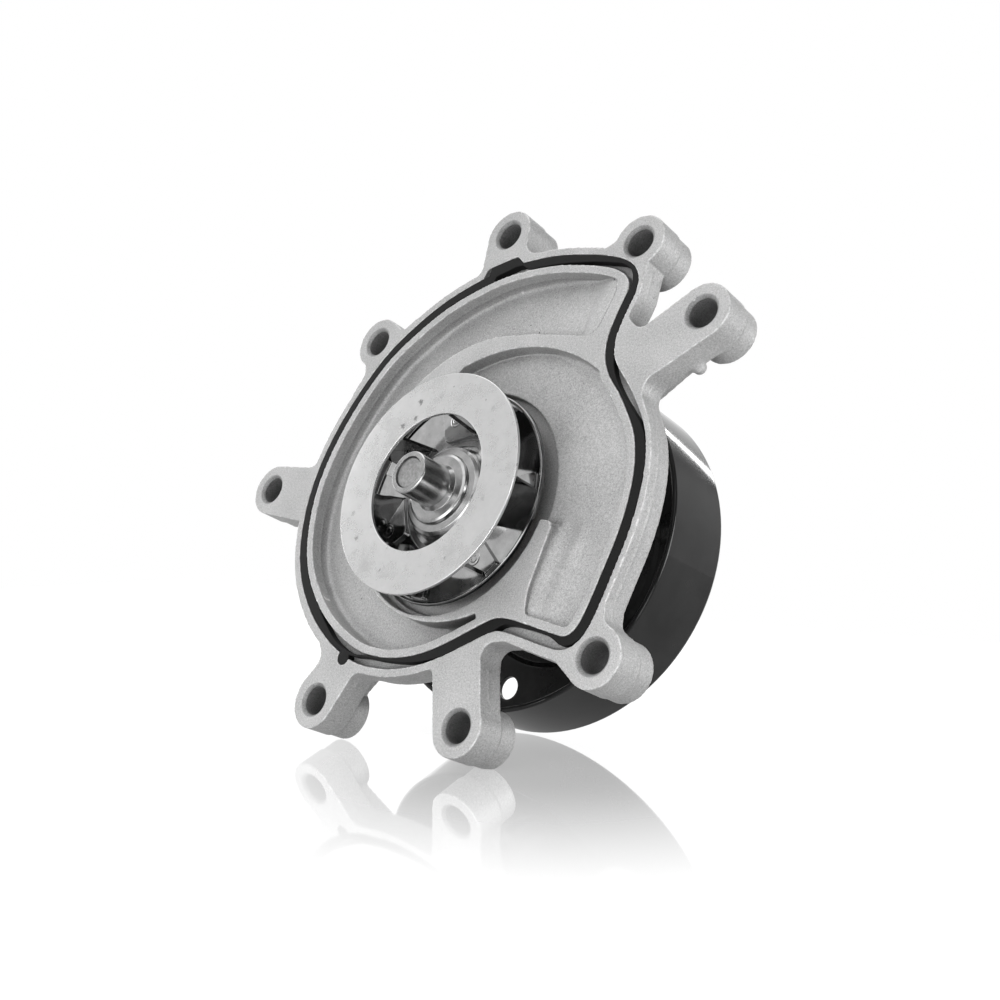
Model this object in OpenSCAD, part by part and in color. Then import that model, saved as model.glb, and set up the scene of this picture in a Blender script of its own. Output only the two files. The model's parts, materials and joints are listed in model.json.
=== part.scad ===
// Engine coolant pump: die-cast volute housing, stamped closed impeller and belt pulley.
// Millimetres. The shaft lies along Y: the engine side faces -Y, the pulley is at +Y, Z is up.
// The origin is where the shaft axis crosses the machined mounting face.

/* [Mounting flange] */
// Depth of the flange plate behind the mounting face
flange_t = 11.4; // [10.6:0.1:13]
// Depth of each bolt boss behind the mounting face
boss_t = 19.5; // [17:0.1:21]
// Radius of each bolt boss
boss_r = 10.9; // [10:0.1:11.5]
// Diameter of the bolt holes (clearance for M10)
bolt_d = 11; // [10:0.1:12]
// Width of the chamfer at the mouth of a bolt hole
bolt_chamfer = 1.1; // [0.6:0.1:1.4]
// Width of the rib between the seal groove and the volute
rib_w = 3.2; // [2.6:0.1:3.6]
// Depth of the seal groove
groove_depth = 3.4; // [2.8:0.1:4]

/* [Volute] */
// Depth of the volute channel below the mounting face
channel_depth = 8.5; // [7:0.1:8.8]
// Depth of the outlet pocket beside the impeller
pocket_depth = 5.6; // [5:0.1:6.2]
// Depth of the round recess behind the impeller
recess_depth = 10; // [9.4:0.1:10.4]
// Radius of the round recess behind the impeller
recess_r = 44.8; // [43:0.1:45.3]
// Radius of the opening above the recess
opening_r = 46.5; // [45.5:0.1:47.5]

/* [Impeller] */
// Radius of the front ring
ring_r = 43.5; // [42:0.1:44]
// Radius of the inlet eye in the front ring
eye_r = 27; // [25:0.1:29]
// How far the front ring stands before the mounting face
ring_front = 15.6; // [14:0.1:16.5]
// Thickness of the impeller sheet
sheet_t = 1.4; // [1:0.1:1.5]
// Radius of the back plate
plate_r = 42.5; // [41.5:0.1:42.8]
// Depth of the back plate's front face behind the mounting face
plate_y = 0.2; // [-0.2:0.1:0.6]
// Number of vanes
vane_count = 7; // [5:1:7]
// Outer radius of the drive sleeve
sleeve_r = 8.2; // [7.7:0.1:8.3]
// How far the drive sleeve stands before the mounting face
sleeve_front = 24.4; // [21:0.1:25]

/* [Pulley] */
// Outer radius of the belt track
pulley_r = 71.5; // [68:0.5:75]
// Distance from the mounting face to the front rim
pulley_front = 41.5; // [40:0.5:44]
// Distance from the mounting face to the rear rim
pulley_rear = 75; // [74.8:0.1:77]
// Thickness of the pulley sheet
pulley_t = 2.2; // [1.8:0.1:2.6]
// Number of round holes in the web
web_holes = 6; // [3:1:6]
// Diameter of the round holes in the web
web_hole_d = 9.5; // [7:0.5:10]

/* [Shaft and bearing] */
// Radius of the shaft in the bearing
shaft_r = 7.95; // [7.8:0.01:8]
// Radius of the shaft end in the drive sleeve
shaft_end_r = 6.2; // [6:0.1:6.4]
// Outer radius of the bearing
bearing_r = 15; // [14.8:0.1:15.4]
// Radius of the balls
ball_r = 2.6; // [2.4:0.05:2.6]
// Number of balls in a row
ball_count = 9; // [7:1:9]

/* [Hidden] */
$fn = 96;
eps = 0.01;

cast = "#b4b4b2";
rubber = "#262626";
steel = "#c9c9c7";
dark_steel = "#6f6f70";
black_coat = "#1c1c1e";

// Seal line: the rib's outer edge. Columns: x, z, groove width, gasket gap on the rib side,
// gasket gap on the outer side, width of the land outside the groove.
SEAL_LINE = [
    [-80.9, 0, 3.8, 0, 0, 3], [-78.8, 20, 3.9, 0, 0, 3], [-71.9, 40, 3.8, 0, 0, 3],
    [-61, 59.2, 3.8, 0, 0, 3], [-48.5, 71.5, 4.1, 0, 0, 3], [-33, 82.5, 4.1, 0, 0, 3],
    [-15, 90.2, 4.2, 0, 0, 3], [0, 93.9, 4.2, 0, 0, 3], [18, 95, 4.3, 0.3, 0, 3],
    [34, 93.3, 4.4, 1.1, 0, 3], [47, 90.6, 4.5, 1.9, 0, 3], [55, 87.2, 4.6, 3, 0, 2.5],
    [58.8, 83, 4.2, 1.6, 0, 1.8], [59.2, 78.5, 3.9, 0, 0, 1.8], [57.2, 71, 3.9, 0, 0, 1.8],
    [55.6, 61.5, 3.8, 0, 0, 2], [56.8, 52.6, 3.8, 0, 0, 2.5], [60.8, 45.3, 4.3, 0, 1.8, 3],
    [67, 38.3, 4.4, 0, 3, 3], [72.8, 30.5, 4.4, 0, 2, 2.5], [77.9, 22, 4.3, 0, 0.4, 2.2],
    [81, 11, 4.1, 0, 0, 2.2], [81.7, -1, 4, 0, 0, 2.4], [80.7, -13, 4.1, 0, 0, 2.3],
    [78.4, -25, 4.1, 0, 0, 2.2], [75.7, -37.5, 4.2, 0, 0, 2.2], [73.2, -45.2, 4.3, 0, 0, 2.5],
    [69.2, -48.8, 4.5, 0, 1, 3], [63, -48.2, 4.8, 0, 3.5, 3.3], [52, -46.2, 4.7, 0, 3.5, 3.3],
    [42.5, -44.7, 4.6, 0, 2.4, 3], [36, -45.2, 4.6, 0, 0, 3], [28, -49.2, 4.4, 0, 0, 3],
    [15, -56.3, 4.2, 0, 0, 3], [3, -61, 4.1, 0, 1.2, 3], [-10, -63.3, 4.2, 0, 2.8, 3],
    [-22, -62.9, 4.4, 0.3, 3, 3], [-30, -61.2, 4.6, 2, 1.4, 3], [-40, -57.3, 4.7, 2.4, 0, 3.2],
    [-49, -52.5, 4.6, 1.2, 0, 3.4], [-58.5, -45.6, 4.5, 0, 0, 3.4],
    [-69.3, -34.3, 4.3, 0, 0, 3.2], [-77, -19.8, 4.1, 0, 0, 3]];
LINE_STEPS = 3;
gasket_play = 0.06;

// Bolt holes, anticlockwise from the left lug
BOLTS = [[-111.7, 3.3], [-43.9, -82.8], [32.2, -83.7], [82.6, -54.5],
    [93.8, 67.1], [58.9, 99.4], [-9.5, 112.9], [-70.7, 70.6]];

// Lug outlines that join each boss to the flange: x, z, corner radius
LUGS = [
    [[-111.7, 14.2, 0], [-86.4, 13.2, 5], [-84.6, 24, 0], [-78, 20, 0], [-78, -14, 0],
        [-85.8, -11, 0], [-113.6, -7.5, 0]],
    [[-54.7, -81, 0], [-54, -77.5, 8], [-46.2, -66.5, 6], [-52, -59.5, 0], [-40, -52, 0],
        [-18, -60, 0], [-18, -70.4, 0], [-26.5, -70.4, 5], [-33.2, -85.8, 0], [-44, -83, 0]],
    [[41.8, -79, 0], [33, -54, 5], [44, -52.6, 0], [44, -45, 0], [30, -46, 0], [4, -60, 0],
        [4, -67.6, 0], [13.6, -65.2, 2.5], [21.8, -87, 0], [32, -84, 0]],
    [[82.4, -36, 0], [83.2, -42, 4], [91.4, -48, 0], [82.6, -54.5, 0], [76.4, -63.3, 0],
        [67.5, -57.3, 6], [60, -56, 0], [60, -50, 0], [74, -44, 0]],
    [[87.2, 75.8, 0], [73.4, 65.8, 2], [69, 62.8, 4], [63.4, 67.5, 3], [61, 75, 0], [58, 60, 0],
        [62, 48, 0], [76, 30, 0], [81, 30, 0], [74.6, 41.4, 6], [84, 47.6, 8], [100, 58.2, 0]],
    [[48.3, 102, 0], [45.5, 98.6, 8], [36, 99.6, 0], [40, 94, 0], [58, 88, 0], [63, 78, 0],
        [65, 78, 0], [65, 91.2, 4], [69.2, 96.5, 0], [60, 100, 0]],
    [[-20.4, 113, 0], [-18.8, 96.6, 5], [-28, 92, 0], [-10, 92, 0], [16, 97, 0], [16, 101.9, 0],
        [2.4, 102.6, 7], [1.3, 113, 0]],
    [[-80, 64.9, 0], [-71.6, 57.4, 7], [-77, 46, 0], [-60, 60, 0], [-48, 73, 0], [-50, 80, 0],
        [-56.6, 74.6, 3], [-64.6, 79.7, 0], [-71, 70, 0]]];

// Tab of the groove under the top lug, and the gap that stays open beside the gasket there
TAB = [[-17.4, 93.4, 1.5], [-15.7, 98.2, 2], [-0.8, 101.9, 2], [3.6, 98, 1.5], [6, 96, 0], [-12, 91.5, 0]];
TAB_GAP = [[-10.6, 91.2, 0], [-9.6, 94.1, 0.6], [0, 97.1, 0], [3.4, 97.3, 1], [8.4, 94.6, 0], [0, 93.4, 0]];
nub = [-34.7, -65.1];
nub_r = 3.1;

// Outlet pocket, tongue and ridge of the volute floor
pocket_arc = [15, -10.4, 71];
POCKET = [[-37, 28, 0], [-14, 54.5, 40], [4, 80, 0], [95, 80, 0], [95, -52, 0], [49.6, -44, 5],
    [48.2, -34, 12], [51.7, -9, 2.5], [44, -8, 0], [0, 0, 0]];
ridge_arc = [4, 9, 57.5];
RIDGE = [[0, 40, 0], [0, 64.6, 0], [15, 66.4, 30], [49, 62.2, 6], [54.2, 80, 8], [52, 90, 0],
    [95, 90, 0], [95, -62, 0], [38, -62, 0], [27, -44, 8]];

arm_pad = [89.5, 52];
arm_pad_r = 2.4;
snout_end = 66;
seal_bore_r = 18.2;
seal_bore_end = 25;
bearing_front = 31;
bearing_rear = 69;
weep_y = 28;
back_t = 14.2;
row_pitch_r = 10.45;
row_y = [40, 60];
race_r = 13;
groove_r = ball_r + 0.1;
ring_back = sheet_t - ring_front;
hub_flange_r = 23;

// One vane, drawn with the inner end of its web at angle 0. Columns of a flange: x, z, corner radius.
function polar(r, a) = [r * cos(a), r * sin(a)];
function polar_corner(r, a, corner_r) = concat(polar(r, a), [corner_r]);
first_vane = 130.3;
WEB_START = polar(25, 0);
WEB_END = polar(40.5, 28.3);
WEB_SLANT = 4.2;
FRONT_FLANGE = [polar_corner(27.8, 7, 0), polar_corner(29.6, -5, 2), polar_corner(41, 15, 2),
    polar_corner(40.5, 28.3, 0)];
REAR_FLANGE = [polar_corner(25, 0, 0), polar_corner(40.5, 28.3, 0), polar_corner(40.3, 37, 0.8),
    polar_corner(23.8, 38, 2.5), polar_corner(23.8, 12, 0)];
WELD = polar(31.8, 25.7);
spring_r = 15.7;
wire_r = 0.7;
spring_y0 = 11;
spring_pitch = 2.6;
spring_turns = 3;
web_y = 70.6;
hub_face_y = 72.2;

// One value of a Catmull-Rom curve between b and c
function curve(a, b, c, d, t) =
    0.5 * (2 * b + (c - a) * t + (2 * a - 5 * b + 4 * c - d) * t * t
    + (3 * b - a - 3 * c + d) * t * t * t);
function knot(i) = SEAL_LINE[(i + len(SEAL_LINE)) % len(SEAL_LINE)];
seal_pts = [for (i = [0:len(SEAL_LINE) - 1], j = [0:LINE_STEPS - 1])
    curve(knot(i - 1), knot(i), knot(i + 1), knot(i + 2), j / LINE_STEPS)];
function seal_at(i) = seal_pts[(i + len(seal_pts)) % len(seal_pts)];
function flat2(p) = [p[0], p[1]];
function left_of(v) = [-v[1], v[0]] / norm(v);
function outward(i) = left_of(flat2(seal_at(i + 1)) - flat2(seal_at(i - 1)));
// The seal line moved outward by a distance for each point
function moved(d) = [for (i = [0:len(seal_pts) - 1]) flat2(seal_pts[i]) + outward(i) * d[i]];
function same(d) = [for (p = seal_pts) d];

// A closed outline whose corners are arcs: each point is x, z, radius
function corner(a, p, b, r) =
    let (u = (a - p) / norm(a - p), v = (b - p) / norm(b - p),
        half = acos(max(-1, min(1, u * v))) / 2, s = r / tan(half),
        c = p + (u + v) / norm(u + v) * (r / sin(half)),
        p0 = p + u * s - c, p1 = p + v * s - c,
        a0 = atan2(p0[1], p0[0]), turn = atan2(p1[1], p1[0]) - a0,
        sweep = turn > 180 ? turn - 360 : turn < -180 ? turn + 360 : turn,
        steps = max(2, ceil(abs(sweep) / 12)))
    [for (k = [0:steps]) c + r * [cos(a0 + sweep * k / steps), sin(a0 + sweep * k / steps)]];
function rounded(q) = [for (i = [0:len(q) - 1])
    let (p = q[i], a = q[(i + len(q) - 1) % len(q)], b = q[(i + 1) % len(q)])
    each p[2] > 0 ? corner(flat2(a), flat2(p), flat2(b), p[2]) : [flat2(p)]];

// Extrudes an outline drawn in X and Z from y0 to y1
module slab(y0, y1) {
    rotate([90, 0, 0]) translate([0, 0, -y1]) linear_extrude(y1 - y0) children();
}
// Turns a profile of [radius, y] points about the shaft axis
module turned(profile) {
    rotate([-90, 0, 0]) rotate_extrude() polygon(profile);
}
module rod(r, y0, y1, at = [0, 0]) {
    translate([at[0], y0, at[1]]) rotate([-90, 0, 0]) cylinder(r = r, h = y1 - y0);
}
module cone(r0, r1, y0, y1, at = [0, 0]) {
    translate([at[0], y0, at[1]]) rotate([-90, 0, 0]) cylinder(r1 = r0, r2 = r1, h = y1 - y0);
}
module tube(r_out, r_in, y0, y1) {
    difference() {
        rod(r_out, y0, y1);
        rod(r_in, y0 - 1, y1 + 1);
    }
}
// Repeats a shape round the shaft axis
module around(count, first = 0) {
    for (i = [0:count - 1]) rotate([0, first - i * 360 / count, 0]) children();
}

// ---- Housing ----
module flange_outline() {
    polygon(moved([for (p = seal_pts) p[2] + p[5]]));
    for (q = LUGS) polygon(rounded(q));
    for (b = BOLTS) translate(b) circle(r = boss_r);
}
module groove_outline() {
    difference() {
        union() {
            polygon(moved([for (p = seal_pts) p[2]]));
            polygon(rounded(TAB));
            translate(nub) circle(r = nub_r);
        }
        polygon(moved(same(0)));
    }
}
module volute_outline() {
    polygon(moved(same(-rib_w)));
}
module channel_outline() {
    difference() {
        volute_outline();
        translate([ridge_arc[0], ridge_arc[1]]) circle(r = ridge_arc[2]);
        polygon(rounded(RIDGE));
    }
}
module pocket_outline() {
    intersection() {
        volute_outline();
        translate([pocket_arc[0], pocket_arc[1]]) circle(r = pocket_arc[2]);
        polygon(rounded(POCKET));
    }
}
// A web on the back of the casting, from the bearing snout to a bolt boss
module back_rib(b) {
    reach = norm(b) - boss_r + 3;
    rotate([0, -atan2(b[1], b[0]), 0]) translate([0, 0, -3.5]) linear_extrude(7)
        polygon([[16, flange_t - 1], [reach, flange_t - 1], [reach, boss_t - 1.5],
            [34, 27], [20, 44], [16, 44]]);
}
module housing() {
    color(cast) difference() {
        union() {
            slab(0, flange_t) flange_outline();
            slab(flange_t - eps, back_t) polygon(moved(same(1)));
            for (b = BOLTS) rod(boss_r - 0.5, 1, boss_t, b);
            for (b = BOLTS) back_rib(b);
            turned([[0, back_t - 1], [50, back_t - 1], [48, 17], [33, 19], [27, 28], [24, 40],
                [22, 44], [21.5, snout_end - 1], [20.5, snout_end], [0, snout_end]]);
            rod(arm_pad_r, 9, 13, arm_pad);
            translate([0, weep_y + 3, 0]) cylinder(r = 10, h = 60, center = true);
        }
        slab(-1, groove_depth) groove_outline();
        slab(-1, channel_depth) channel_outline();
        slab(-1, pocket_depth) pocket_outline();
        rod(opening_r, -1, pocket_depth);
        rod(recess_r, pocket_depth - eps, recess_depth);
        rod(seal_bore_r, 9, seal_bore_end);
        rod(12.5, 24, 32);
        rod(bearing_r, bearing_front, snout_end + 1);
        translate([0, weep_y, -40]) cylinder(r = 2.2, h = 40);
        translate([0, weep_y + 3, 16]) cylinder(r = 7, h = 20);
        for (b = BOLTS) {
            rod(bolt_d / 2, -1, boss_t + 1, b);
            cone(bolt_d / 2 + bolt_chamfer + 0.5, bolt_d / 2, -0.5, bolt_chamfer, b);
        }
    }
}

module volute_gasket() {
    end = groove_depth - 0.2;
    color(rubber) difference() {
        union() {
            slab(0, end) polygon(moved([for (p = seal_pts) p[2] - p[4] - gasket_play]));
            slab(0, end) intersection() {
                polygon(rounded(TAB));
                translate([-14, 90]) square([20, 11.2]);
            }
            rod(nub_r - gasket_play, 0, end, nub);
        }
        slab(-1, groove_depth) polygon(moved([for (p = seal_pts) p[3] + gasket_play]));
        slab(-1, groove_depth) polygon(rounded(TAB_GAP));
    }
}

module weep_plug() {
    color(steel) translate([0, weep_y + 3, 0]) difference() {
        translate([0, 0, 25]) cylinder(r = 7, h = 4.4);
        translate([0, 0, 26]) cylinder(r = 6, h = 5);
    }
}

// ---- Bearing ----
module race_groove(y) {
    translate([0, y, 0]) rotate([-90, 0, 0]) rotate_extrude()
        translate([row_pitch_r, 0]) circle(r = groove_r);
}
module bearing_outer_race() {
    color(steel) difference() {
        turned([[race_r, bearing_front], [bearing_r - 0.8, bearing_front],
            [bearing_r, bearing_front + 0.8], [bearing_r, bearing_rear - 0.8],
            [bearing_r - 0.8, bearing_rear], [race_r, bearing_rear]]);
        for (y = row_y) race_groove(y);
    }
}
module bearing_shield(y) {
    color(rubber) turned([[shaft_r + 0.35, y], [race_r, y], [race_r, y + 1.4], [10, y + 1.4],
        [9.4, y + 1], [shaft_r + 0.35, y + 1]]);
}
module bearing_seal_front() {
    bearing_shield(32);
}
module bearing_seal_rear() {
    bearing_shield(66.6);
}
module bearing_retaining_ring() {
    color(dark_steel) difference() {
        tube(bearing_r + 4, bearing_r + 0.3, snout_end, snout_end + 1.2);
        translate([-2.5, snout_end - 1, -30]) cube([5, 4, 30]);
    }
}
module ball_row(y) {
    color(steel) around(ball_count) translate([row_pitch_r, y, 0]) sphere(r = ball_r, $fn = 40);
}
module ball_cage(y) {
    color("#8a7a4a") difference() {
        tube(11.4, 9.6, y - 3.4, y + 3.4);
        around(ball_count) translate([8, y, 0]) rotate([0, 90, 0]) cylinder(r = ball_r + 0.15, h = 5);
    }
}
module balls_front() {
    ball_row(row_y[0]);
}
module balls_rear() {
    ball_row(row_y[1]);
}
module ball_cage_front() {
    ball_cage(row_y[0]);
}
module ball_cage_rear() {
    ball_cage(row_y[1]);
}

// ---- Shaft and shaft seal ----
module pump_shaft() {
    color(steel) difference() {
        turned([[0, 0.7 - sleeve_front], [shaft_end_r - 0.6, 0.7 - sleeve_front],
            [shaft_end_r, 1.3 - sleeve_front], [shaft_end_r, -6.2], [shaft_r, -6.2],
            [shaft_r, 73.4], [shaft_r - 0.8, 74.2], [0, 74.2]]);
        for (y = row_y) race_groove(y);
    }
}
module slinger() {
    color(rubber) turned([[shaft_r, 25.6], [9.4, 25.6], [11.6, 27], [11.6, 27.8], [9.4, 28.4],
        [shaft_r, 28.4]]);
}
module seal_case() {
    color("#a88a4e") turned([[16.9, 9], [21, 9], [21, recess_depth], [seal_bore_r, recess_depth],
        [seal_bore_r, 22], [10, 22], [10, 20.8], [16.9, 20.8]]);
}
module seal_bellows() {
    color(rubber) turned([[9, 8.6], [12.6, 8.6], [12.6, 10.4], [10.4, 11], [10.4, 12.4], [13, 14],
        [13, 15], [10.6, 16.6], [10.6, 19.6], [14.6, 19.8], [14.6, 20.8], [9, 20.8]]);
}
// Point of the spring's surface at a turn count and an angle round the wire
function spring_point(turn, a) =
    let (r = spring_r + wire_r * cos(a))
    [r * cos(360 * turn), spring_y0 + spring_pitch * turn + wire_r * sin(a), r * sin(360 * turn)];
module seal_spring() {
    rings = spring_turns * 20;
    sides = 8;
    points = [for (i = [0:rings], k = [0:sides - 1]) spring_point(i / 20, 360 * k / sides)];
    walls = [for (i = [0:rings - 1], k = [0:sides - 1])
        [i * sides + k, i * sides + (k + 1) % sides,
            (i + 1) * sides + (k + 1) % sides, (i + 1) * sides + k]];
    start = [for (k = [0:sides - 1]) sides - 1 - k];
    end = [for (k = [0:sides - 1]) rings * sides + k];
    color(steel) polyhedron(points, concat([start], walls, [end]));
}
module seal_carbon_ring() {
    color("#303032") turned([[9, 3.8], [11.6, 3.8], [11.6, 5.4], [13.4, 5.4], [13.4, 8.6], [9, 8.6]]);
}
module seal_seat_ring() {
    color("#e8e4dc") tube(13.2, 9, -3.4, 3.7);
}
module seal_seat_rubber() {
    color(rubber) turned([[shaft_r, -5.4], [14.6, -5.4], [14.6, 2.6], [13.2, 2.6], [13.2, -3.4],
        [9, -3.4], [9, 2.6], [shaft_r, 2.6]]);
}

// ---- Impeller ----
module impeller_hub() {
    color(steel) turned([[shaft_end_r, -sleeve_front], [sleeve_r - 0.4, -sleeve_front],
        [sleeve_r, 0.4 - sleeve_front], [sleeve_r, -10.6], [9.3, -9], [12.6, -9], [13.6, -8.6],
        [14, -7.8], [14, -7], [16.4, -6.6], [17.6, -5.6], [18, -4.2], [18, -2.8], [18.8, -1],
        [20.8, plate_y], [hub_flange_r, plate_y], [hub_flange_r, plate_y + 1.2],
        [20.2, plate_y + 1.2], [17.4, 0.2], [16.6, -1.8], [16.6, -4], [15.4, -5.4], [14.6, -5.5],
        [12.6, -6.4], [9.3, -6.4], [9.3, -6.2], [shaft_end_r, -6.2]]);
}
module impeller_back_plate() {
    color(steel) turned([[hub_flange_r, plate_y], [plate_r - 1.4, plate_y],
        [plate_r - 0.5, plate_y - 0.7], [plate_r, plate_y - 0.3], [plate_r, plate_y + 0.9],
        [plate_r - 0.8, plate_y + 1.6], [hub_flange_r, plate_y + 1.6]]);
}
// A vane is a bent sheet: an upright web, a front flange on the ring and a rear flange on the plate
module vane_web() {
    run = WEB_END - WEB_START;
    translate([WEB_START[0], 0, WEB_START[1]]) rotate([0, -atan2(run[1], run[0]), 0])
        translate([0, 0, -sheet_t / 2]) linear_extrude(sheet_t)
            polygon([[0, plate_y], [norm(run), plate_y], [norm(run), ring_back],
                [WEB_SLANT, ring_back]]);
}
module one_vane() {
    slab(ring_back, ring_back + sheet_t) polygon(rounded(FRONT_FLANGE));
    vane_web();
    slab(plate_y - sheet_t, plate_y) polygon(rounded(REAR_FLANGE));
}
module impeller_vanes() {
    color(steel) around(vane_count, -first_vane) one_vane();
}
module impeller_front_ring() {
    color(steel) tube(ring_r, eye_r, -ring_front, ring_back);
}
module impeller_spot_welds() {
    color(dark_steel) around(vane_count, -first_vane)
        rod(1.5, plate_y - sheet_t - 0.3, plate_y - sheet_t, WELD);
}

// ---- Pulley ----
module pulley_hub() {
    color(dark_steel) difference() {
        turned([[shaft_r, bearing_rear + 0.8], [12.4, bearing_rear + 0.8], [13, 70.4], [26, 70.4],
            [26.6, 71], [26.6, hub_face_y], [14, hub_face_y], [13.4, 74.4], [shaft_r, 74.4]]);
    }
}
module pulley_shell() {
    t = pulley_t;
    r = pulley_r;
    color(black_coat) difference() {
        turned([[14.2, hub_face_y], [31, hub_face_y], [35, web_y - 1.2], [44, web_y - 1.2],
            [46, web_y], [r - t - 4, web_y], [r - t - 1.2, web_y - 0.8], [r - t, web_y - 2.4],
            [r - t, pulley_front + 0.5], [r - t + 0.5, pulley_front], [r - 0.6, pulley_front],
            [r, pulley_front + 0.6], [r, pulley_rear - 1.8], [r - 0.6, pulley_rear - 0.6],
            [r - 1.8, pulley_rear], [r - 5.4, pulley_rear], [r - 7, pulley_rear - 1.2],
            [r - 7.6, web_y + t], [45, web_y + t], [43, web_y + t - 1.2], [36, web_y + t - 1.2],
            [32, hub_face_y + t], [14.2, hub_face_y + t]]);
        around(web_holes, 43.4) rod(web_hole_d / 2, 60, 80, [57.3, 0]);
    }
}

housing();
volute_gasket();
weep_plug();
bearing_outer_race();
bearing_seal_front();
bearing_seal_rear();
bearing_retaining_ring();
balls_front();
ball_cage_front();
balls_rear();
ball_cage_rear();
pump_shaft();
slinger();
seal_case();
seal_bellows();
seal_spring();
seal_carbon_ring();
seal_seat_ring();
seal_seat_rubber();
impeller_hub();
impeller_back_plate();
impeller_vanes();
impeller_front_ring();
impeller_spot_welds();
pulley_hub();
pulley_shell();
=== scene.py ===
"""Looks for the engine coolant pump: materials, lights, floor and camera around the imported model."""
import json
import math

import bmesh
import bpy
import numpy as np
from mathutils import Matrix, Vector


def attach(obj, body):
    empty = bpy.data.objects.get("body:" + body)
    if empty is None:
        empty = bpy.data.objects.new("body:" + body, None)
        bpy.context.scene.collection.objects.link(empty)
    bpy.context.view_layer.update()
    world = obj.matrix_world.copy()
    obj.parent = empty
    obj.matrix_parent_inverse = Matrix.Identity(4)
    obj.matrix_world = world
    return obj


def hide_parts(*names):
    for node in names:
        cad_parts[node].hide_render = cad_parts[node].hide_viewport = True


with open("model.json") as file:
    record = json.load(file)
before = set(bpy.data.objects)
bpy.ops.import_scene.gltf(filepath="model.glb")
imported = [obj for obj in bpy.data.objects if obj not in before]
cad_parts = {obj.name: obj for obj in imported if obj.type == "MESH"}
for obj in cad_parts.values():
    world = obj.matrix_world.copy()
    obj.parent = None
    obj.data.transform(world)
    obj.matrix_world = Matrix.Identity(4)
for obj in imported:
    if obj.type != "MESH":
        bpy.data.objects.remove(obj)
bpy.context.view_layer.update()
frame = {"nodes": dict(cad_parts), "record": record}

MM = 0.001
WELD_GAP = 0.00001  # points closer than this, in metres, become one
SLOTS = {row["node"]: row["material_slot"] for row in frame["record"]["subparts"]}

# ---- Sizes shared by pieces and materials, in millimetres and degrees ----
# Bolt holes: x, z
BOLTS = [(-111.7, 3.3), (-43.9, -82.8), (32.2, -83.7), (82.6, -54.5),
         (93.8, 67.1), (58.9, 99.4), (-9.5, 112.9), (-70.7, 70.6)]
# Depth of the floor round the impeller, where the deeper channel starts
STEP_DEPTH = 5.6
# Vanes, and the spot weld on the rear flange of each
VANES = 7
FIRST_VANE = 130.3
WELD_RADIUS = 31.8
WELD_TURN = 25.7
FLANGE_FRONT = -1.2
# Half section of one weld dimple: radius, depth
WELD_PROFILE = [
    (2.9, 0.02), (2.6, -0.12), (2.25, -0.14), (1.95, -0.05), (1.5, -0.05), (1.3, -0.16),
    (1.05, -0.16), (0.95, 0.0), (0.9, 0.35), (0.0, 0.4)]
WELD_SIDES = 28
WELD_CENTRE = 1.0  # faces nearer to the middle are scorched
# Scorch marks on the front ring: x, z, size, darkness
WELD_MARKS = [
    (-14.3, 32.3, 1.7, 0.85), (-14.4, 25.6, 1.7, 0.8), (-20.4, 22.8, 1.9, 0.75),
    (19.9, 31.4, 0.6, 0.8), (24.7, 27.6, 1.6, 0.3), (-28.0, -23.0, 1.5, 0.6),
    (-34.0, -13.0, 1.4, 0.35), (-10.2, -34.9, 0.9, 0.5), (21.1, -29.0, 0.8, 0.4),
    (-4.0, 34.5, 1.6, 0.18), (31.5, -6.5, 1.4, 0.2)]

# ---- Camera: the pump leans back on its pulley, so the floor is tilted in the pump's frame ----
TILT = math.radians(21.52)
FLOOR_UP = Vector((0, -math.sin(TILT), math.cos(TILT)))
FLOOR_POINT = Vector((0, 74.9, -71.45)) * MM
CAMERA_AT = Vector((333.6, -311.4, -122.4)) * MM
CAMERA_AIM = Vector((24.5, 0, -1.3)) * MM
LENS = 45.57
SENSOR = 36.0

# ---- Floor, in metres: half width, its near and far edge, and the middle of its mirror image ----
FLOOR_HALF = 0.9
FLOOR_EDGES = (-1.2, 0.43)
MIRROR_MIDDLE = (0.045, 0.03, -0.09)

# ---- Studio ----
# Soft panels: direction, half angle where it is full, half angle where it ends, brightness
PANELS = [
    ((-0.68, 0.68, 0.30), 34, 50, 1.0),
    ((-0.72, -0.66, 0.24), 22, 44, 0.74),
    ((-0.25, -0.10, 0.95), 20, 50, 0.8),
    ((0.56, 0.76, 0.34), 10, 46, 0.72)]
ROOM = 0.035
# Lamps: name, place and size in metres, watts
LAMPS = [
    ("front", (0.20, -1.1, 0.55), (1.1, 0.9), 4.5),
    ("low_front", (0.10, -0.42, -0.22), (0.8, 0.3), 3.0),
    ("top", (-0.30, -0.30, 1.0), (1.0, 0.8), 3.2),
    ("left", (-1.1, -0.1, 0.2), (0.8, 0.8), 4.3),
    ("right", (1.0, 0.18, 0.0), (0.8, 0.9), 12.5)]
# A narrow lamp, for the bright line on the pulley, and the direction that it lies along
STRIP = ("strip", (-0.06, 0.76, 0.645), (0.34, 0.024), 0.27)
STRIP_ALONG = Vector((0.934, 0.26, -0.243))


def linked(name, data):
    """A new object in the scene."""
    made = bpy.data.objects.new(name, data)
    bpy.context.scene.collection.objects.link(made)
    return made


def looking(at, aim, up):
    """Matrix of a camera or area light at a point, facing another point."""
    back = (at - aim).normalized()
    right = up.cross(back).normalized()
    top = back.cross(right)
    m = Matrix((right, top, back)).transposed().to_4x4()
    m.translation = at
    return m


def add_camera():
    data = bpy.data.cameras.new("camera")
    data.lens = LENS
    data.sensor_width = SENSOR
    data.clip_start = 0.01
    data.clip_end = 20
    camera = linked("camera", data)
    camera.matrix_world = looking(CAMERA_AT, CAMERA_AIM, FLOOR_UP)
    bpy.context.scene.camera = camera


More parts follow.
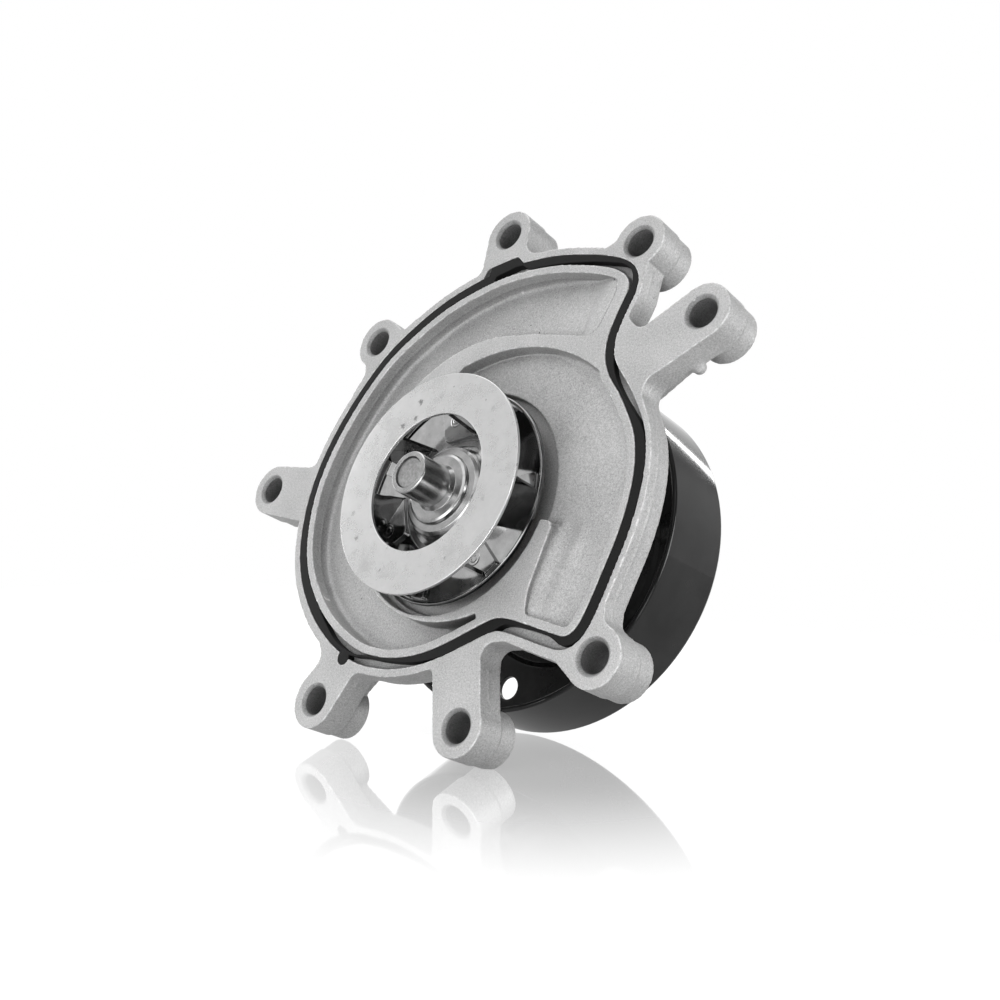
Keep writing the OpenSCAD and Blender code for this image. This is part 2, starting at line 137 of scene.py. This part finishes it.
# ---- Node helpers ----
class Nodes:
    """A material's node tree with short calls to add and link nodes."""

    def __init__(self, name):
        self.material = bpy.data.materials.new(name)
        self.material.use_nodes = True
        self.tree = self.material.node_tree
        self.tree.nodes.clear()

    def add(self, kind, **values):
        """A node. Each value is one of its settings, or an input with _ for each space."""
        node = self.tree.nodes.new(kind)
        for key, value in values.items():
            if hasattr(node, key):
                setattr(node, key, value)
            else:
                self.plug(node.inputs[key.replace("_", " ")], value)
        return node

    def plug(self, socket, value):
        if isinstance(value, bpy.types.NodeSocket):
            self.tree.links.new(value, socket)
        else:
            socket.default_value = value

    def plug_all(self, node, *values):
        for socket, value in zip(node.inputs, values):
            self.plug(socket, value)
        return node

    def place(self):
        return self.add("ShaderNodeTexCoord").outputs["Object"]

    def along_shaft(self, vector):
        return self.plug_all(self.add("ShaderNodeSeparateXYZ"), vector).outputs["Y"]

    def facing_y(self):
        """How nearly a point of the surface faces along the shaft: 1 for a flat front or back."""
        way = self.add("ShaderNodeTexCoord").outputs["Normal"]
        return self.math("ABSOLUTE", self.along_shaft(way))

    def noise(self, scale, detail=3.0, rough=0.5):
        node = self.add("ShaderNodeTexNoise", Scale=scale, Detail=detail, Roughness=rough)
        self.plug(node.inputs["Vector"], self.place())
        return node.outputs["Fac"]

    def math(self, operation, a, b=0.0):
        return self.plug_all(self.add("ShaderNodeMath", operation=operation), a, b).outputs[0]

    def scaled(self, value, factor, offset):
        return self.math("ADD", self.math("MULTIPLY", value, factor), offset)

    def distance(self, a, b):
        node = self.add("ShaderNodeVectorMath", operation="DISTANCE")
        return self.plug_all(node, a, b).outputs["Value"]

    def fade(self, value, start, end, full):
        """Falls smoothly from full to 0 while the value goes from start to end."""
        node = self.add("ShaderNodeMapRange", interpolation_type="SMOOTHSTEP", Value=value,
                        From_Min=start, From_Max=end, To_Min=full, To_Max=0.0)
        return node.outputs["Result"]

    def ramp(self, value, stops):
        """A colour ramp. Each stop is a position with a grey or a colour."""
        node = self.add("ShaderNodeValToRGB")
        node.color_ramp.elements[0].position = stops[0][0]
        node.color_ramp.elements[1].position = stops[-1][0]
        for position, _ in stops[1:-1]:
            node.color_ramp.elements.new(position)
        for element, (_, colour) in zip(node.color_ramp.elements, stops):
            element.color = (*colour, 1) if isinstance(colour, tuple) else grey(colour)
        self.plug(node.inputs["Fac"], value)
        return node.outputs["Color"]

    def blend(self, kind, amount, a, b):
        node = self.add("ShaderNodeMix", data_type="RGBA", blend_type=kind)
        self.plug(node.inputs[0], amount)
        self.plug(node.inputs[6], a)
        self.plug(node.inputs[7], b)
        return node.outputs[2]

    def times(self, a, b):
        return self.blend("MULTIPLY", 1.0, a, b)

    def bump(self, height, distance, strength=1.0):
        node = self.add("ShaderNodeBump", Strength=strength, Distance=distance)
        self.plug(node.inputs["Height"], height)
        return node.outputs["Normal"]

    def finish(self, **sockets):
        shader = self.add("ShaderNodeBsdfPrincipled", **sockets)
        return self.output(shader)

    def output(self, shader):
        out = self.add("ShaderNodeOutputMaterial")
        self.tree.links.new(shader.outputs[0], out.inputs[0])
        return self.material


def grey(value):
    return (value, value, value, 1)


# ---- Materials ----
def flat_distance(n, x, z):
    """Distance in millimetres from a line along the shaft's direction, at x and z."""
    flat = n.plug_all(n.add("ShaderNodeVectorMath", operation="MULTIPLY"),
                      n.place(), Vector((1000, 0, 1000)))
    return n.distance(flat.outputs[0], Vector((x, 0, z)))


def worn_corners_painted_highlight(n):
    """1 on the corners, in patches, but not on flat machined faces: partly polish from handling,
    partly a painted highlight along the rounded edges.
    """
    edge = n.add("ShaderNodeNewGeometry").outputs["Pointiness"]
    patches = n.ramp(n.noise(420), [(0.42, 0.0), (0.56, 1.0)])
    polish_and_painted_highlight = n.math("MULTIPLY", n.ramp(edge, [(0.52, 0.0), (0.58, 1.0)]), patches)
    return n.math("MULTIPLY", polish_and_painted_highlight, n.ramp(n.facing_y(), [(0.93, 1.0), (0.985, 0.0)]))


def painted_recess_shade(n):
    """Painted shade: holes and the feet of walls are darkened in the base colour by ambient occlusion.
    """
    node = n.add("ShaderNodeAmbientOcclusion", samples=8, only_local=True, Distance=0.014)
    return n.ramp(node.outputs["AO"], [(0.12, 0.17), (0.42, 0.55), (0.66, 0.84), (0.85, 1.0)])


def painted_hole_mouth_shade(n, cloud):
    """Painted shade: the bolt holes' chamfers, close behind the mounting face, are painted darker than
    the face.
    """
    chamfer_depth = 1.6 * MM
    near_bolt = 100.0
    for x, z in BOLTS:
        near_bolt = n.math("MINIMUM", flat_distance(n, x, z), near_bolt)
    reach = n.math("ADD", near_bolt, n.math("MULTIPLY", cloud, 0.5))
    # A ramp takes 0 to 1, so it works in centimetres here
    # The darker tone here is the painted shade of the chamfer ring
    dark = n.ramp(n.math("MULTIPLY", reach, 0.1), [(0.69, 0.62), (0.72, 1.0)])
    at_front = n.math("LESS_THAN", n.along_shaft(n.place()), chamfer_depth)
    return n.blend("MIX", at_front, grey(1.0), dark)


def cast_aluminium():
    """Die-cast skin: grain, pits, and worn corners that also carry a painted edge highlight; painted
    shade in recesses and at the hole mouths.
    """
    n = Nodes("cast_aluminium")
    fine = n.noise(2900, 2.0, 0.6)
    coarse = n.noise(1300, 3.0, 0.6)
    cloud = n.noise(35, 4.0, 0.6)
    grain = n.scaled(fine, 0.6, n.math("MULTIPLY", coarse, 0.4))
    tone = n.scaled(grain, 0.8, n.math("MULTIPLY", cloud, 0.2))
    skin = n.ramp(tone, [(0.32, 0.22), (0.5, 0.45), (0.68, 0.68)])
    pits = n.ramp(n.noise(330, 2.0, 0.4), [(0.205, 0.25), (0.235, 1.0)])
    # Lighter corners: handling polish, and a painted highlight on the rounded edges
    colour = n.times(n.blend("MIX", worn_corners_painted_highlight(n), skin, grey(0.86)), pits)
    # Painted shade in the holes and at the feet of walls
    colour = n.times(colour, painted_recess_shade(n))
    # Painted shade on the bolt holes' chamfers
    colour = n.times(colour, painted_hole_mouth_shade(n, cloud))
    return n.finish(Base_Color=colour, Metallic=0.55, Roughness=n.scaled(cloud, 0.15, 0.5),
                    Normal=n.bump(grain, 0.00012, 0.65))


def black_rubber():
    n = Nodes("black_rubber")
    speck = n.noise(1800)
    colour = n.ramp(speck, [(0.3, 0.003), (0.75, 0.01)])
    return n.finish(Base_Color=colour, Roughness=n.scaled(speck, 0.2, 0.45),
                    Specular_IOR_Level=0.16, Normal=n.bump(speck, 0.00004))


def sheet(name, low, high, rough, wave):
    """Bright rolled sheet steel: a near mirror with faint smears and rolling waves."""
    n = Nodes(name)
    smear = n.noise(160, 4.0, 0.6)
    colour = n.ramp(smear, [(0.25, low), (0.7, high)])
    return n.finish(Base_Color=colour, Metallic=1.0, Roughness=n.scaled(smear, 0.12, rough),
                    Normal=n.bump(n.noise(1500, 2.0), wave))


def stamped_sheet():
    """The vanes and back plate: flat faces bright; bent webs and cut edges, which don't face along the
    shaft, are painted darker as painted shade.
    """
    n = Nodes("stamped_sheet")
    smear = n.noise(160, 4.0, 0.6)
    # Painted shade: faces that turn away from the shaft's direction take the darker tone
    flat = n.ramp(n.facing_y(), [(0.8, 0.0), (0.96, 1.0)])
    web_painted_shade = n.ramp(smear, [(0.25, 0.1), (0.7, 0.2)])
    flange = n.ramp(smear, [(0.25, 0.42), (0.7, 0.58)])
    return n.finish(Base_Color=n.blend("MIX", flat, web_painted_shade, flange), Metallic=1.0,
                    Roughness=n.scaled(smear, 0.1, 0.05))


def satin_sheet():
    """The front ring: satin sheet with the faint scorch marks of its spot welds."""
    n = Nodes("satin_sheet")
    smudge = n.noise(110, 5.0, 0.7)
    colour = n.ramp(smudge, [(0.3, 0.61), (0.5, 0.67), (0.7, 0.71)])
    blotch = n.noise(900, 4.0, 0.7)
    for x, z, size, dark in WELD_MARKS:
        far = n.math("ADD", flat_distance(n, x, z), n.math("MULTIPLY", blotch, size * 3.0))
        mark = n.fade(far, size * 1.7, size * 2.4, dark)
        colour = n.blend("MIX", mark, colour, grey(0.2))
    specks = n.ramp(n.noise(420, 2.0, 0.5), [(0.2, 0.35), (0.23, 1.0)])
    return n.finish(Base_Color=n.times(colour, specks), Metallic=1.0,
                    Roughness=n.scaled(smudge, 0.16, 0.2),
                    Normal=n.bump(n.noise(2400, 3.0, 0.6), 0.00001))


def black_coat():
    n = Nodes("black_coat")
    dust = n.noise(60, 4.0, 0.65)
    colour = n.ramp(dust, [(0.35, 0.010), (0.7, 0.020)])
    return n.finish(Base_Color=colour, Roughness=n.scaled(dust, 0.08, 0.03),
                    Specular_IOR_Level=0.38, Normal=n.bump(n.noise(500, 2.0), 0.000006))


def flecked(name, scale, low, high, metallic, rough, vary=0.0):
    """A fine-grained surface between two tones. Its roughness may vary with the grain."""
    n = Nodes(name)
    fleck = n.noise(scale, 4.0, 0.6)
    return n.finish(Base_Color=n.ramp(fleck, [(0.3, low), (0.7, high)]), Metallic=metallic,
                    Roughness=n.scaled(fleck, vary, rough) if vary else rough,
                    Normal=n.bump(fleck, 0.00001))


def steel(name, low, high, rough):
    return flecked(name, 900, low, high, 1.0, rough, 0.15)


def make_materials():
    """A material for each slot of the record, and two for pieces that look different from it."""
    return {
        "cast_aluminium": cast_aluminium(),
        "black_rubber": black_rubber(),
        "bright_sheet": sheet("bright_sheet", 0.6, 0.76, 0.06, 0.000003),
        "stamped_sheet": stamped_sheet(),
        "hub_chrome": sheet("hub_chrome", 0.34, 0.48, 0.19, 0.0000002),
        "satin_sheet": satin_sheet(),
        "black_coat": black_coat(),
        "cage_brass": flecked("cage_brass", 900, (0.5, 0.38, 0.17), (0.7, 0.56, 0.3), 1.0, 0.32),
        "zinc_steel": steel("zinc_steel", 0.45, 0.62, 0.3),
        "bearing_steel": steel("bearing_steel", 0.55, 0.66, 0.1),
        "shaft_steel": steel("shaft_steel", 0.22, 0.4, 0.42),
        "dark_steel": steel("dark_steel", 0.1, 0.24, 0.35),
        "seal_carbon": flecked("seal_carbon", 700, 0.015, 0.03, 0.0, 0.35),
        "seal_ceramic": flecked("seal_ceramic", 700, 0.7, 0.8, 0.0, 0.25),
    }


def dress_nodes():
    """Every CAD node gets the material of its slot."""
    for node, slot in SLOTS.items():
        mesh = frame["nodes"][node].data
        mesh.materials.clear()
        mesh.materials.append(materials[slot])


# ---- Mesh helpers ----
def smoothstep(low, high, value):
    t = np.clip((value - low) / (high - low), 0, 1)
    return t * t * (3 - 2 * t)


def read_points(mesh):
    points = np.empty(len(mesh.vertices) * 3)
    mesh.vertices.foreach_get("co", points)
    return points.reshape(-1, 3)


def write_points(mesh, points):
    mesh.vertices.foreach_set("co", points.astype(np.float32).ravel())
    mesh.update()


def shade_smooth(mesh):
    mesh.polygons.foreach_set("use_smooth", [True] * len(mesh.polygons))


def applied(piece):
    """The piece's mesh with its modifiers applied."""
    graph = bpy.context.evaluated_depsgraph_get()
    mesh = bpy.data.meshes.new_from_object(piece.evaluated_get(graph))
    piece.modifiers.clear()
    piece.data = mesh
    return mesh


def relax(mesh, points, weight, rounds):
    """Moves each point towards the mean of its neighbours, by a weight for each point."""
    edges = np.empty(len(mesh.edges) * 2, dtype=np.int64)
    mesh.edges.foreach_get("vertices", edges)
    a, b = edges[0::2], edges[1::2]
    count = len(points)
    degree = np.bincount(a, minlength=count) + np.bincount(b, minlength=count)
    for _ in range(rounds):
        mean = np.empty_like(points)
        for axis in range(3):
            column = points[:, axis]
            total = np.bincount(a, column[b], count) + np.bincount(b, column[a], count)
            mean[:, axis] = total / degree
        points = points + (mean - points) * weight[:, None]
    return points


def vertex_normals(mesh, points):
    """The direction of each point's surface, from the faces around it, which are all quads."""
    corners = np.empty(len(mesh.loops), dtype=np.int64)
    mesh.loops.foreach_get("vertex_index", corners)
    quads = corners.reshape(-1, 4)
    across = points[quads[:, 2]] - points[quads[:, 0]]
    down = points[quads[:, 3]] - points[quads[:, 1]]
    flat = np.cross(across, down)
    total = np.zeros_like(points)
    for corner in quads.T:
        for axis in range(3):
            total[:, axis] += np.bincount(corner, flat[:, axis], len(points))
    return total / np.maximum(np.linalg.norm(total, axis=1), 1e-9)[:, None]


# ---- Housing: the flange and volute as a smooth casting, in millimetres ----
def run_out_channel(x, y, z):
    """The channel's floor rises towards its end, from x 8 to x 52, up to the step's depth."""
    begin, end, top = 8, 52, 5.65
    floor = smoothstep(STEP_DEPTH - 0.6, STEP_DEPTH, y) * (y < 10.6)
    in_channel = floor * (z > 25) * (x > -20) * (x < 62) * (np.hypot(x, z) > 50)
    run_out = smoothstep(begin, end, x) * in_channel
    return y - np.clip(y - top, 0, None) * run_out


def slope_channel_end(x, y, z):
    """The last 19 mm of the channel slope up nearly to the mounting face."""
    length, height = 19, 0.94
    corner_x, corner_z, corner_r = 45, 79, 12.3
    past = x - (54.2 - 0.29 * (80 - z))
    in_corner = np.hypot(x - corner_x, z - corner_z) < corner_r
    within = np.where((x > corner_x) & (z > corner_z), in_corner, z < 89.5)
    deep = (y > 0.3) * (y < 6.2)
    slope = smoothstep(-length, -0.4, past) * within * (past < 0.8) * deep * (z > 60.5)
    return y * (1 - height * slope)


def relieve_tongue(x, y, z):
    """Beside the tongue the floor is raised, with a groove and a low ridge along the tongue."""
    edge = np.interp(z, [-44, -34, -9], [49.6, 48.2, 51.7])
    away = x - edge
    along = smoothstep(-47, -40, z) * (1 - smoothstep(-16, -4, z))
    beside = (y > 0.3) * (y < 7) * (away > -0.8) * (away < 24)
    raised = np.interp(z, [-44, -30, -9], [0.78, 0.45, 0.22]) * np.exp(-(away / 10) ** 2)
    y = y * (1 - beside * along * raised)
    near = (y > 0.6) * (y < 7) * (away > 1) * (away < 22)
    groove = 0.6 * np.exp(-((away - 4.5) / 2.6) ** 2)
    ridge = 0.75 * np.exp(-((away - 9.5) / 1.8) ** 2)
    return y + near * along * (groove - ridge)


def shape_volute(points):
    """The casting's soft forms that the CAD solid leaves plain: only depths change."""
    x, y, z = points.T
    for form in (run_out_channel, slope_channel_end, relieve_tongue):
        y = form(x, y, z)
    return np.column_stack([x, y, z])


def parting_line(mesh, points, hole):
    """A thin raised seam where the two halves of the die met, around the outer walls."""
    depth, height, half_width = 4.6, 0.24, 0.5
    x, y, z = points.T
    way = vertex_normals(mesh, points)
    wobble = 0.6 + 0.4 * np.sin(x * 0.9 + z * 0.7) * np.sin(z * 0.35 - x * 0.2)
    seam = height * np.exp(-((y - depth) / half_width) ** 2) * wobble
    outer = (np.abs(way[:, 1]) < 0.3) & (hole > 13) & (np.hypot(x, z) > 72)
    return way * (seam * outer)[:, None]


def soften(mesh, points):
    """Rounds the back's edges and the channel, keeps the front crisp, and adds small traces."""
    x, y, z = points.T.copy()
    radius = np.hypot(x, z)
    hole = np.min([np.hypot(x - bx, z - bz) for bx, bz in BOLTS], axis=0)
    at_step = np.abs(y - STEP_DEPTH) < 0.45
    crisp = (y < 4.2) | (hole < 11.6) | (radius < 18.6) | (at_step & (radius < 62))
    mouth = (hole < 8.2) & (y < 2.5)
    # Each round smooths all points, and then undoes it where the shape stays crisp
    smooth = np.where(mouth, 0.2, 0.5)
    undo = np.where(mouth, -0.2, np.where(crisp, -0.51, 0.0))
    for _ in range(6):
        points = relax(mesh, points, smooth, 1)
        points = relax(mesh, points, undo, 1)
    wall_top, wall_foot = 1.4, 3.4
    trough = (y > wall_top) & (y < 10) & (radius > 49) & (hole > 14) & ~(at_step & (radius < 66))
    inside = smoothstep(wall_top, wall_foot, y) * trough
    points = relax(mesh, points, 0.5 * inside, 44)
    points = points + parting_line(mesh, points, hole)
    # The mounting face is almost flat, with waves of about 0.01 mm
    wave = 0.006 * (1 + np.sin(2.1 * x) * np.sin(1.7 * z))
    face = np.maximum(points[:, 1] - 0.06, 0.0) + wave
    points[:, 1] = np.where(y < 0.2, face, points[:, 1])
    return points


def housing_casting():
    """The CAD housing as fine voxels, pulled back onto the CAD surface and then softened."""
    source = frame["nodes"]["housing"]
    piece = linked("housing_casting", source.data.copy())
    weld = piece.modifiers.new("weld", "WELD")
    weld.merge_threshold = WELD_GAP
    voxels = piece.modifiers.new("voxels", "REMESH")
    voxels.mode = "VOXEL"
    voxels.voxel_size = 0.48 * MM
    wrap = piece.modifiers.new("wrap", "SHRINKWRAP")
    wrap.target = source
    mesh = applied(piece)
    points = soften(mesh, shape_volute(read_points(mesh) / MM))
    write_points(mesh, points * MM)
    shade_smooth(mesh)
    fewer = piece.modifiers.new("fewer", "DECIMATE")
    fewer.ratio = 0.45
    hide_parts("housing")
    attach(piece, "housing")
    mesh.materials.clear()
    mesh.materials.append(materials["cast_aluminium"])


# ---- Sheet-metal and rubber pieces: the CAD shapes with their corners rounded ----
def bevel_corners(mesh, width, segments, corner):
    """Rounds every edge sharper than a corner angle in degrees, to a width in millimetres."""
    bmesh.ops.remove_doubles(mesh, verts=mesh.verts, dist=WELD_GAP)
    bmesh.ops.dissolve_limit(mesh, angle_limit=math.radians(1.5), verts=mesh.verts, edges=mesh.edges)
    least = math.radians(corner)
    sharp = [e for e in mesh.edges if e.is_manifold and e.calc_face_angle(0) > least]
    bmesh.ops.bevel(mesh, geom=sharp, offset=width * MM, offset_type="OFFSET", segments=segments,
                    profile=0.5, affect="EDGES", clamp_overlap=True)
    bmesh.ops.triangulate(mesh, faces=[f for f in mesh.faces if len(f.verts) > 4])


def rounded_copy(node, name, body, width, segments=2, corner=24, look=None):
    """A piece that stands for a CAD node, with its sharp corners rounded."""
    piece = linked(name, frame["nodes"][node].data.copy())
    work = bmesh.new()
    work.from_mesh(piece.data)
    bevel_corners(work, width, segments, corner)
    clean = bpy.data.meshes.new(name)
    work.to_mesh(clean)
    work.free()
    shade_smooth(clean)
    clean.set_sharp_from_angle(angle=math.radians(38))
    clean.materials.append(materials[look or SLOTS[node]])
    piece.data = clean
    normals = piece.modifiers.new("normals", "WEIGHTED_NORMAL")
    normals.keep_sharp = True
    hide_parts(node)
    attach(piece, body)


def turned(x, z):
    """Points and faces of one weld dimple around x and z."""
    points, faces = [], []
    for r, y in WELD_PROFILE:
        for i in range(WELD_SIDES):
            a = 2 * math.pi * i / WELD_SIDES
            at = (x + r * math.cos(a), FLANGE_FRONT + y, z + r * math.sin(a))
            points.append(Vector(at) * MM)
    for ring in range(len(WELD_PROFILE) - 1):
        for i in range(WELD_SIDES):
            j = (i + 1) % WELD_SIDES
            a = ring * WELD_SIDES
            faces.append((a + i, a + j, a + WELD_SIDES + j, a + WELD_SIDES + i))
    return points, faces


def weld_middles():
    turns = [math.radians(WELD_TURN + FIRST_VANE - 360 / VANES * k) for k in range(VANES)]
    return [(WELD_RADIUS * math.cos(a), WELD_RADIUS * math.sin(a)) for a in turns]


def spot_welds():
    """The dimples that the welding tips leave on the rear flange of each vane."""
    middles = weld_middles()
    points, faces = [], []
    for x, z in middles:
        start = len(points)
        ring_points, ring_faces = turned(x, z)
        points += ring_points
        faces += [tuple(start + i for i in face) for face in ring_faces]
    mesh = bpy.data.meshes.new("weld_dimples")
    mesh.from_pydata(points, [], faces)
    work = bmesh.new()
    work.from_mesh(mesh)
    bmesh.ops.remove_doubles(work, verts=work.verts, dist=WELD_GAP)
    bmesh.ops.recalc_face_normals(work, faces=work.faces)
    work.to_mesh(mesh)
    work.free()
    shade_smooth(mesh)
    mesh.materials.append(materials["stamped_sheet"])
    mesh.materials.append(materials["seal_carbon"])
    for face in mesh.polygons:
        x, _, z = face.center / MM
        in_centre = any(math.hypot(x - a, z - b) < WELD_CENTRE for a, b in middles)
        face.material_index = int(in_centre)
    piece = linked("weld_dimples", mesh)
    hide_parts("impeller_spot_welds")
    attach(piece, "rotor")


# ---- Stage ----
def floor_material():
    """A pale table that mirrors the pump near its feet. The mirror image fades with distance."""
    n = Nodes("floor")
    mirror_share = n.fade(n.distance(n.place(), Vector(MIRROR_MIDDLE)), 0.02, 0.175, 0.54)
    seen = n.add("ShaderNodeLightPath").outputs["Is Camera Ray"]
    white = n.add("ShaderNodeEmission", Color=grey(1.0), Strength=n.scaled(seen, 0.7, 0.44))
    lit = n.add("ShaderNodeBsdfDiffuse", Color=grey(0.95))
    mirror = n.add("ShaderNodeBsdfGlossy", Color=grey(1.0), Roughness=0.04)
    base = n.plug_all(n.add("ShaderNodeMixShader"), 0.22, white.outputs[0], lit.outputs[0])
    both = n.plug_all(n.add("ShaderNodeMixShader"), n.math("MULTIPLY", mirror_share, seen),
                      base.outputs[0], mirror.outputs[0])
    return n.output(both)


def add_floor():
    across = Vector((1, 0, 0))
    along = FLOOR_UP.cross(across).normalized()
    near, far = FLOOR_EDGES
    corners = [(-FLOOR_HALF, near), (FLOOR_HALF, near), (FLOOR_HALF, far), (-FLOOR_HALF, far)]
    mesh = bpy.data.meshes.new("floor")
    mesh.from_pydata([FLOOR_POINT + across * a + along * b for a, b in corners], [], [(0, 1, 2, 3)])
    mesh.materials.append(floor_material())
    linked("floor", mesh)


def add_world():
    """White to the camera; to the pump, a dim room with soft bright panels."""
    world = bpy.data.worlds.new("studio")
    bpy.context.scene.world = world
    world.use_nodes = True
    tree = world.node_tree
    tree.nodes.clear()

    def node(kind, *inputs, **values):
        made = tree.nodes.new(kind)
        for key, value in values.items():
            setattr(made, key, value)
        for socket, value in zip(made.inputs, inputs):
            if isinstance(value, bpy.types.NodeSocket):
                tree.links.new(value, socket)
            else:
                socket.default_value = value
        return made

    def cosine(degrees):
        return math.cos(math.radians(degrees))

    way = node("ShaderNodeTexCoord").outputs["Generated"]
    total = ROOM
    for direction, full, end, bright in PANELS:
        dot = node("ShaderNodeVectorMath", way, Vector(direction).normalized(),
                   operation="DOT_PRODUCT")
        part = node("ShaderNodeMapRange", dot.outputs["Value"], cosine(end), cosine(full),
                    0.0, bright, interpolation_type="SMOOTHSTEP")
        total = node("ShaderNodeMath", total, part.outputs["Result"], operation="ADD").outputs[0]
    room = node("ShaderNodeBackground", grey(1.0), total)
    back = node("ShaderNodeBackground", grey(1.0), 1.0)
    seen = node("ShaderNodeLightPath").outputs["Is Camera Ray"]
    mix = node("ShaderNodeMixShader", seen, room.outputs[0], back.outputs[0])
    node("ShaderNodeOutputWorld", mix.outputs[0])


def add_lamp(name, place, size, watts, up=FLOOR_UP):
    """An area light that the camera can't see, aimed at the shaft in the mounting face's plane."""
    data = bpy.data.lights.new(name, "AREA")
    data.shape = "RECTANGLE"
    data.size, data.size_y = size
    data.energy = watts
    lamp = linked(name, data)
    lamp.visible_camera = False
    lamp.matrix_world = looking(Vector(place), Vector((0, 0, 0)), up)


add_camera()
add_world()
add_floor()
materials = make_materials()
dress_nodes()
housing_casting()
rounded_copy("volute_gasket", "gasket_bead", "housing", 0.5, 3)
rounded_copy("impeller_front_ring", "front_ring_sheet", "rotor", 0.3)
rounded_copy("impeller_vanes", "vane_sheets", "rotor", 0.25, look="stamped_sheet")
rounded_copy("impeller_back_plate", "back_plate_sheet", "rotor", 0.15, look="stamped_sheet")
rounded_copy("impeller_hub", "hub_pressing", "rotor", 0.35, 3, 14, look="hub_chrome")
rounded_copy("pulley_shell", "pulley_pressing", "rotor", 0.8, 4)
spot_welds()
for lamp in LAMPS:
    add_lamp(*lamp)
add_lamp(*STRIP, up=Vector(STRIP[1]).cross(STRIP_ALONG))
bpy.context.scene.view_settings.view_transform = "Standard"
